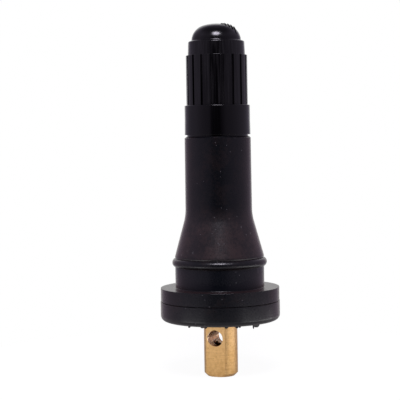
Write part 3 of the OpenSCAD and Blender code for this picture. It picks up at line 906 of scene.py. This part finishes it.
stem_brass = brass("tumbled_brass", light=(0.94, 0.60, 0.24), dark=(0.76, 0.43, 0.14),
                   rough=0.46, pits=0.6, coat=0.5)
cut_brass = brass("cut_brass", light=(0.96, 0.70, 0.48), dark=(0.90, 0.62, 0.40),
                  rough=0.14, pits=0, coat=0)
# Painted shade: the bore's brass is a dark brown that stands for the shade deep in the narrow bore.
bore_shade_brass = brass("drilled_brass_painted_shade", light=(0.16, 0.06, 0.02), dark=(0.09, 0.03, 0.01),
                   rough=0.4, pits=0, coat=0)
core_brass = brass("bright_core_brass", light=(0.82, 0.56, 0.24), dark=(0.76, 0.50, 0.20),
                   rough=0.26, pits=0.02, coat=0)
thread_brass = brass("thread_brass", light=(0.93, 0.75, 0.42), dark=(0.86, 0.66, 0.33),
                     rough=0.3, pits=0.1, coat=0)
for finish in (stem_brass, cut_brass, bore_shade_brass, thread_brass):
    stem.data.materials.append(finish)
stem_thread.data.materials.append(thread_brass)
plug.data.materials.append(core_brass)
print("brass finishes:", stem_brass.name, core_brass.name)

# %% [markdown]
# ## Small inner pieces
# The seals and the core's other brass pieces are out of sight in use. Their solids are
# right, so they stay, and only their finish changes: seal rubber is smooth and even, and the
# brass is the plug's. The spring's wire has fine drawing lines.

# %% Seal rubber and spring wire


def seal(name, light, dark):
    """Smooth seal rubber with a slight cloudiness."""
    finish, shader = new_finish(name)
    place = millimetres(finish, (1, 1, 1))
    haze = cloud(finish, place, per_mm=1.5, detail=4)
    wire(finish, ramp(finish, haze, [(0.35, dark), (0.65, light)]), shader.inputs["Base Color"])
    wire(finish, grey_ramp(finish, haze, [(0.3, 0.4), (0.7, 0.52)]), shader.inputs["Roughness"])
    bump(finish, shader, cloud(finish, place, per_mm=8, detail=4), strength=0.2, depth_mm=0.01)
    return finish


seal_black = seal("seal_rubber", light=(0.022, 0.022, 0.023), dark=(0.014, 0.014, 0.015))
seal_red = seal("barrel_seal_rubber", light=(0.42, 0.035, 0.02), dark=(0.32, 0.022, 0.014))
wire_finish, wire_shader = new_finish("drawn_spring_wire")
wire_lines = cloud(wire_finish, millimetres(wire_finish, (1, 1, 6)), per_mm=4, detail=4)
wire(wire_finish, grey_ramp(wire_finish, wire_lines, [(0.3, 0.48), (0.7, 0.6)]),
     wire_shader.inputs["Base Color"])
wire(wire_finish, grey_ramp(wire_finish, wire_lines, [(0.3, 0.24), (0.7, 0.36)]),
     wire_shader.inputs["Roughness"])
wire_shader.inputs["Metallic"].default_value = 1
spring.data.materials.append(wire_finish)

node_finishes = {
    "cap_seal": seal_black,
    "seat_seal": seal_black,
    "barrel_seal": seal_red,
    "core_barrel": core_brass,
    "core_pin": core_brass,
    "seat_cup": core_brass,
}
for node_name, finish in node_finishes.items():
    node_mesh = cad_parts[node_name].data
    node_mesh.materials.clear()
    node_mesh.materials.append(finish)
print("finishes set on", len(node_finishes), "solids")

# %% [markdown]
# ## Floor
# The valve stands on a small white table. The camera sees a white floor that still takes a
# soft shadow. What the brass mirrors of it is greyer, because the flange keeps the light off
# the floor around the foot, and it gets lighter towards the table's edge. Light that bounces
# softly meets a grey floor, so the flange isn't lit from below. The lamps alone leave the open
# table grey in the picture, so its paint glows by what is missing to white.

# %% Floor
FLOOR_R = 50
FLOOR_SIDES = 96
FLOOR_DROP = 0.02
FLOOR_Z = cad_box[0][2] / MM - FLOOR_DROP
FLOOR_SHADOW = 0.12
FLOOR_GREY = 0.22
FLOOR_WHITE = 0.86
FLOOR_LIT = 0.4
FLOOR_SHADE = [(2.6, 0.3), (4, 0.36), (11, 0.36), (14, 0.2), (30, 0.2), (48, 0.6)]

floor_mesh = bmesh.new()
bmesh.ops.create_circle(floor_mesh, cap_ends=True, radius=FLOOR_R, segments=FLOOR_SIDES)
bmesh.ops.translate(floor_mesh, verts=floor_mesh.verts, vec=(0, 0, FLOOR_Z))
bmesh.ops.scale(floor_mesh, vec=(MM, MM, MM), verts=floor_mesh.verts)
floor_data = bpy.data.meshes.new("floor")
floor_mesh.to_mesh(floor_data)
floor_mesh.free()
floor = bpy.data.objects.new("floor", floor_data)
bpy.context.scene.collection.objects.link(floor)

floor_paint = bpy.data.materials.new("white_table")
floor_paint.use_nodes = True
floor_nodes = floor_paint.node_tree.nodes
floor_nodes.clear()
table_white = floor_nodes.new("ShaderNodeBsdfDiffuse")
picture_white = floor_nodes.new("ShaderNodeEmission")
picture_white.inputs["Strength"].default_value = (1 - FLOOR_SHADOW * FLOOR_LIT) / (1 - FLOOR_SHADOW)
rays = floor_nodes.new("ShaderNodeLightPath")
bent = maths(floor_paint, "MAXIMUM", rays.outputs["Is Glossy Ray"], rays.outputs["Is Transmission Ray"])
table_reach = floor_nodes.new("ShaderNodeVectorMath")
table_reach.operation = "LENGTH"
wire(floor_paint, millimetres(floor_paint, (1 / FLOOR_R, 1 / FLOOR_R, 0)), table_reach.inputs[0])
table_shade = grey_ramp(floor_paint, table_reach.outputs["Value"],
                        [(reach / FLOOR_R, grey) for reach, grey in FLOOR_SHADE])
bent_shaded = maths(floor_paint, "MULTIPLY", bent, table_shade)
seen = maths(floor_paint, "MAXIMUM", rays.outputs["Is Camera Ray"], bent_shaded)
table_tint = mixed(floor_paint, seen, (FLOOR_GREY,) * 3, (FLOOR_WHITE,) * 3)
wire(floor_paint, table_tint, table_white.inputs["Color"])
seen_white = maths(floor_paint, "MULTIPLY", seen, 1 - FLOOR_SHADOW)
floor_mix = floor_nodes.new("ShaderNodeMixShader")
floor_out = floor_nodes.new("ShaderNodeOutputMaterial")
wire(floor_paint, seen_white, floor_mix.inputs["Fac"])
wire(floor_paint, table_white.outputs["BSDF"], floor_mix.inputs[1])
wire(floor_paint, picture_white.outputs["Emission"], floor_mix.inputs[2])
wire(floor_paint, floor_mix.outputs["Shader"], floor_out.inputs["Surface"])
floor_data.materials.append(floor_paint)
print("floor at", round(FLOOR_Z, 2), "mm")

# %% [markdown]
# ## Light
# A black object on white shows its shape by what it mirrors. Here the room behind the camera
# is dark, the sides are grey, and the backdrop is white, so the middle of each round piece
# stays dark and its rims light up. The room's light follows the direction around the valve.
# It is a little stronger half way up and fades towards the ceiling. The backdrop is white for
# the camera in every direction. A mirrored or transmitted ray meets it behind the valve,
# where it hangs.

# %% World
LEVELS = [
    (-180, 0.5), (-146, 0.35), (-113, 0.25), (-81, 0.3), (-48, 0.19), (-25, 0.15), (-22, 0.012),
    (0, 0.01), (10, 0.012), (29, 0.15), (52, 0.19), (86, 0.27), (119, 0.29), (146, 0.38), (180, 0.5),
]
ROOM_TINT = (1.0, 0.88, 1.16)
CEILING = [(0.3, 1), (0.6, 1.25), (0.88, 0.4)]
BACKDROP = [(-158, 1), (-146, 0), (146, 0), (158, 1)]
BACKDROP_TALL = [(0.55, 1), (0.72, 0)]

world = bpy.data.worlds.new("studio")
bpy.context.scene.world = world
world.use_nodes = True
world_nodes = world.node_tree.nodes
world_nodes.clear()
direction = world_nodes.new("ShaderNodeTexCoord").outputs["Generated"]
world_rays = world_nodes.new("ShaderNodeLightPath")


def turned(stops):
    """Places on the share of a full turn for stops in degrees from the camera's side."""
    return [(0.5 + angle / 360, value) for angle, value in stops]


around = maths(world, "ARCTAN2", along(world, direction, right_of_camera),
               along(world, direction, towards_camera))
turn_share = maths(world, "MULTIPLY_ADD", around, 1 / math.tau, 0.5)
rise = along(world, direction, (0, 0, 1))
room_stops = [(angle, [level * tint for tint in ROOM_TINT]) for angle, level in LEVELS]
room = ramp(world, turn_share, turned(room_stops))
dimmed = world_nodes.new("ShaderNodeVectorMath")
dimmed.operation = "MULTIPLY"
wire(world, room, dimmed.inputs[0])
wire(world, grey_ramp(world, rise, CEILING), dimmed.inputs[1])
room_light = world_nodes.new("ShaderNodeBackground")
wire(world, dimmed.outputs["Vector"], room_light.inputs["Color"])
print("the room has", len(LEVELS), "levels of light around the valve")

# %% White backdrop
white_backdrop = world_nodes.new("ShaderNodeBackground")
white_backdrop.inputs["Color"].default_value = (1, 1, 1, 1)
behind = maths(world, "MULTIPLY", grey_ramp(world, turn_share, turned(BACKDROP)),
               grey_ramp(world, rise, BACKDROP_TALL))
bent_rays = maths(world, "MAXIMUM", world_rays.outputs["Is Glossy Ray"],
                  world_rays.outputs["Is Transmission Ray"])
bent_share = maths(world, "MULTIPLY", bent_rays, behind)
white_share = maths(world, "MAXIMUM", world_rays.outputs["Is Camera Ray"], bent_share)
world_mix = world_nodes.new("ShaderNodeMixShader")
world_out = world_nodes.new("ShaderNodeOutputWorld")
wire(world, white_share, world_mix.inputs["Fac"])
wire(world, room_light.outputs["Background"], world_mix.inputs[1])
wire(world, white_backdrop.outputs["Background"], world_mix.inputs[2])
wire(world, world_mix.outputs["Shader"], world_out.inputs["Surface"])
print("the room and its backdrop have", len(world_nodes), "nodes")

# %% [markdown]
# ## Lamps
# One soft oval lamp, a trace violet, hangs high in front. It draws the small bright marks on
# the dome, on the edges of the cap and on the bead. The foot stands in the flange's shade, so
# two small white cards, low on the left and on the right, throw some light on it, as a
# photographer would do it. Each card is a lamp that the camera doesn't see.

# %% Soft lamp and low cards
KEY_RISE = math.radians(50.5)
KEY_DISTANCE = 300
KEY_WIDTH = 145
KEY_HEIGHT = 115
KEY_POWER = 0.66
KEY_AIM_Z = 15
KEY_TINT = (1.0, 0.95, 1.09)
CARDS = [(-48, 20, 0.0006), (72, 40, 0.0013)]
CARD_DISTANCE = 29
CARD_HEIGHT = 4.5
CARD_Z = -11.8


def soft_lamp(name, shape, width, height, power, tint, way, distance, aim_z):
    """An area lamp that shines along a way towards a point on the valve's axis."""
    data = bpy.data.lights.new(name, "AREA")
    data.shape = shape
    data.size = width * MM
    data.size_y = height * MM
    data.energy = power
    data.color = tint
    lamp = bpy.data.objects.new(name, data)
    lamp.visible_camera = False
    lamp.matrix_world = (Matrix.Translation((way * distance + Vector((0, 0, aim_z))) * MM)
                         @ (-way).to_track_quat("-Z", "Y").to_matrix().to_4x4())
    bpy.context.scene.collection.objects.link(lamp)
    print(name, width, "by", height, "mm at", distance, "mm")


key_way = towards_camera * math.cos(KEY_RISE) + Vector((0, 0, math.sin(KEY_RISE)))
soft_lamp("soft_lamp", "ELLIPSE", KEY_WIDTH, KEY_HEIGHT, KEY_POWER, KEY_TINT, key_way, KEY_DISTANCE,
          KEY_AIM_Z)
for angle, width, power in CARDS:
    card_turn = math.radians(angle)
    card_way = towards_camera * math.cos(card_turn) + right_of_camera * math.sin(card_turn)
    soft_lamp("low_card", "RECTANGLE", width, CARD_HEIGHT, power, (1, 1, 1), card_way, CARD_DISTANCE,
              CARD_Z)

# %% [markdown]
# ## Last steps
# The picture is kept plain: the Standard view transform shows each colour as it is written.

# %% View
bpy.context.scene.view_settings.view_transform = "Standard"
